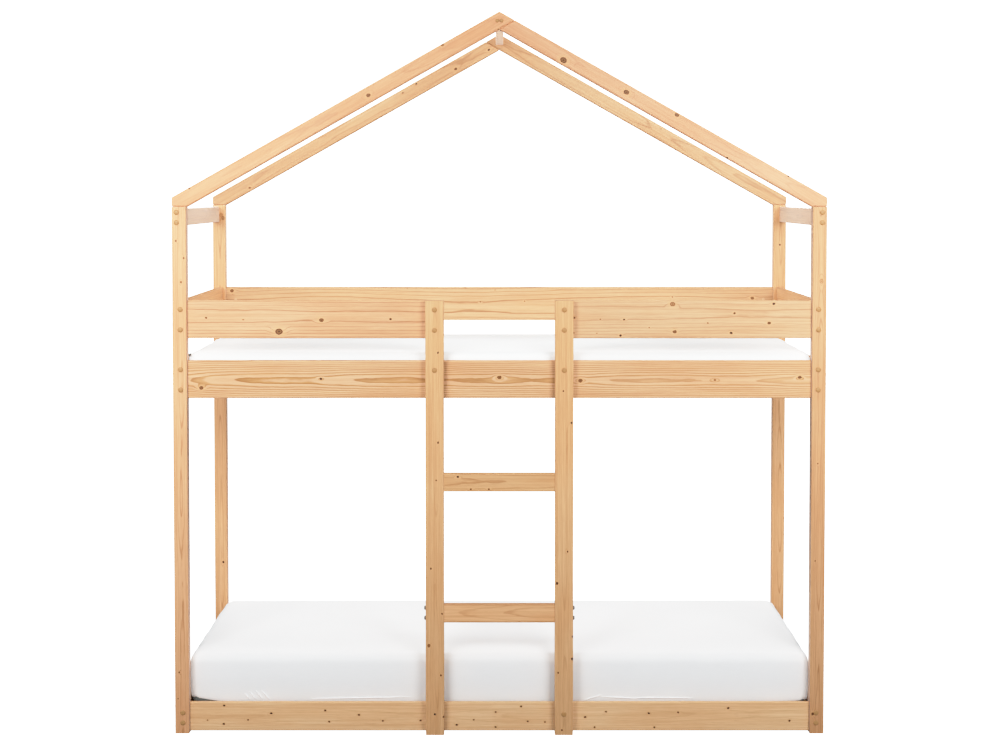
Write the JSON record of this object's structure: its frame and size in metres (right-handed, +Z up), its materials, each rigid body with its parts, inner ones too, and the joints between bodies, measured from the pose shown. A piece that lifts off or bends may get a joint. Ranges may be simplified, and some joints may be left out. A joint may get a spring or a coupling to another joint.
{
  "type": "house bunk bed",
  "caption": "Pine bunk bed in a house-shaped frame: slatted lower and upper bunks with mattresses, guard boards, a fixed front ladder and an open gable roof.",
  "frame": {"origin": "middle of the whole bed's footprint, on the floor", "axes": "+X to the right seen from the ladder side, +Y away from the ladder side, +Z up"},
  "size_m": [2.0642, 1.0042, 2.283],
  "materials": {
    "pine_frame": "satin clear lacquer over knotty pine",
    "pine_board": "satin clear lacquer over knotty pine, flat sawn",
    "pine_beam": "satin, paler and pinker than the frame",
    "pine_slat": "planed, not lacquered",
    "pine_cap": "satin",
    "steel_hardware": "zinc plated",
    "cotton_sheet": "matt plain weave"
  },
  "bodies": {
    "frame": {"post_front_left": "pine_frame", "post_front_right": "pine_frame", "post_back_left": "pine_frame", "post_back_right": "pine_frame", "rafter_front_left": "pine_frame", "rafter_front_right": "pine_frame", "rafter_back_left": "pine_frame", "rafter_back_right": "pine_frame", "ridge_beam": "pine_beam", "eave_beam_left": "pine_beam", "eave_beam_right": "pine_beam", "guard_front_left": "pine_board", "guard_front_right": "pine_board", "guard_back": "pine_board", "guard_left": "pine_board", "guard_right": "pine_board", "upper_rail_front": "pine_board", "upper_rail_back": "pine_board", "upper_rail_left": "pine_board", "upper_rail_right": "pine_board", "lower_rail_front": "pine_board", "lower_rail_back": "pine_board", "lower_rail_left": "pine_board", "lower_rail_right": "pine_board", "ladder_upright_left": "pine_frame", "ladder_upright_right": "pine_frame", "ladder_rung_lower": "pine_frame", "ladder_rung_upper": "pine_frame", "lower_ledger_front": "pine_slat", "lower_ledger_back": "pine_slat", "upper_ledger_front": "pine_slat", "upper_ledger_back": "pine_slat", "lower_slat_01": "pine_slat", "lower_slat_02": "pine_slat", "lower_slat_03": "pine_slat", "lower_slat_04": "pine_slat", "lower_slat_05": "pine_slat", "lower_slat_06": "pine_slat", "lower_slat_07": "pine_slat", "lower_slat_08": "pine_slat", "lower_slat_09": "pine_slat", "lower_slat_10": "pine_slat", "lower_slat_11": "pine_slat", "lower_slat_12": "pine_slat", "upper_slat_01": "pine_slat", "upper_slat_02": "pine_slat", "upper_slat_03": "pine_slat", "upper_slat_04": "pine_slat", "upper_slat_05": "pine_slat", "upper_slat_06": "pine_slat", "upper_slat_07": "pine_slat", "upper_slat_08": "pine_slat", "upper_slat_09": "pine_slat", "upper_slat_10": "pine_slat", "upper_slat_11": "pine_slat", "upper_slat_12": "pine_slat"},
    "lower_mattress": {"lower_mattress": "cotton_sheet"},
    "upper_mattress": {"upper_mattress": "cotton_sheet"}
  },
  "joints": [
    {"name": "lower_mattress_lift", "type": "slide", "parent": "frame", "child": "lower_mattress", "axis": [0, 0, 1], "range_m": [0, 0.15]},
    {"name": "upper_mattress_lift", "type": "slide", "parent": "frame", "child": "upper_mattress", "axis": [0, 0, 1], "range_m": [0, 0.3]}
  ]
}
